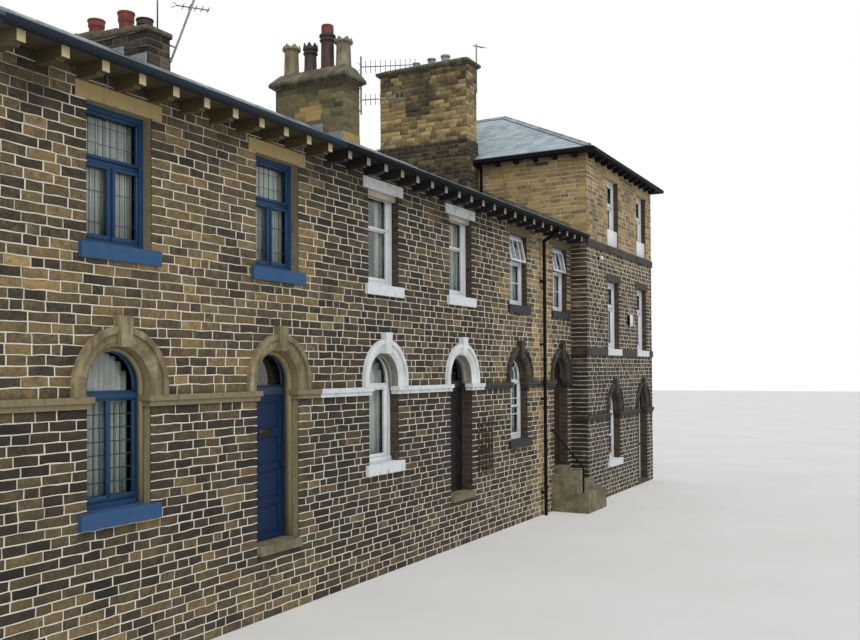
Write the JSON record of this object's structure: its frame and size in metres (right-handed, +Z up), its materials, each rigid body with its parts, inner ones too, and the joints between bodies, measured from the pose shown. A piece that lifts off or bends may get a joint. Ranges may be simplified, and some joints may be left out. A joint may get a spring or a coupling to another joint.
{
  "type": "terraced house row",
  "caption": "Row of two-storey sandstone terraced houses with arched doors and windows, bracketed eaves, slate roof, chimney stacks and a taller end pavilion; front doors open inwards.",
  "frame": {"origin": "on the lowest ground, under the middle of the whole row", "axes": "+X along the street front to the right, +Y back from the street, +Z up"},
  "size_m": [21.765, 9.345, 11.53],
  "materials": {
    "black_door": "black gloss paint",
    "black_iron": "black gloss paint on cast iron",
    "blue_door": "dark blue gloss paint",
    "blue_gutter": "dark blue gloss paint on cast iron",
    "blue_joinery": "blue gloss paint on softwood",
    "brown_door": "dark brown gloss paint",
    "clay": "fired clay",
    "cream_timber": "cream gloss paint on softwood",
    "dark_stone": "sandstone blackened by soot",
    "dark_timber": "black paint on softwood",
    "dressed_stone": "sawn sandstone, weathered",
    "floor": "plain boards",
    "galvanised": "weathered aluminium and steel",
    "glass": "clear window glass",
    "sill_paint": "stone sills with masonry paint",
    "slate": "wet blue-grey roofing slate",
    "stone": "hammer-dressed coursed sandstone, darkened, with pale raised joints",
    "white_joinery": "white gloss paint on softwood",
    "white_stone": "stone with white masonry paint"
  },
  "bodies": {
    "house": {"row_plinth": "stone", "row_front_wall_lower": "stone", "row_front_wall_upper": "stone", "row_rear_wall": "stone", "end_wall": "stone", "party_walls": "stone", "ground_floors": "floor", "upper_floors": "floor", "roof_slope_front": "slate", "roof_slope_rear": "slate", "eaves_boards": "cream_timber", "eaves_brackets_a": "cream_timber", "eaves_brackets_bc": "dark_timber", "gutter_a": "blue_gutter", "gutter_bc": "black_iron", "string_course": "dressed_stone", "arch_stones_a": "dressed_stone", "arch_stones_b": "white_stone", "arch_stones_c": "dark_stone", "lintels": "dressed_stone", "sills": "sill_paint", "window_frames_a": "blue_joinery", "window_frames_bc": "white_joinery", "window_glass": "glass", "door_frames": "blue_joinery", "steps": "dressed_stone", "handrail": "black_iron", "chimney_stack_end": "stone", "chimney_stack_ab": "stone", "chimney_stack_bc": "stone", "chimney_stack_cd": "stone", "chimney_pots": "clay", "pavilion_front_wall": "stone", "pavilion_side_walls": "stone", "pavilion_rear_wall": "stone", "pavilion_floors": "floor", "pavilion_roof": "slate", "pavilion_eaves": "dark_timber", "pavilion_gutter": "black_iron", "pavilion_string_courses": "dark_stone", "pavilion_arch_stones": "dark_stone", "pavilion_window_frames": "white_joinery", "pavilion_door": "black_door", "downpipes": "black_iron", "aerials": "galvanised"},
    "leaf_a": {"door_a": "blue_door"},
    "leaf_b": {"door_b": "black_door"},
    "leaf_c": {"door_c": "brown_door"}
  },
  "joints": [
    {"name": "door_a_hinge", "type": "hinge", "parent": "house", "child": "leaf_a", "pos_m": [-6.799, -3.5232, 1.95], "axis": [0, 0, 1], "range_deg": [0, 90]},
    {"name": "door_b_hinge", "type": "hinge", "parent": "house", "child": "leaf_b", "pos_m": [-1.399, -3.5232, 1.95], "axis": [0, 0, 1], "range_deg": [0, 90]},
    {"name": "door_c_hinge", "type": "hinge", "parent": "house", "child": "leaf_c", "pos_m": [3.731, -3.5232, 1.95], "axis": [0, 0, 1], "range_deg": [0, 90]}
  ]
}
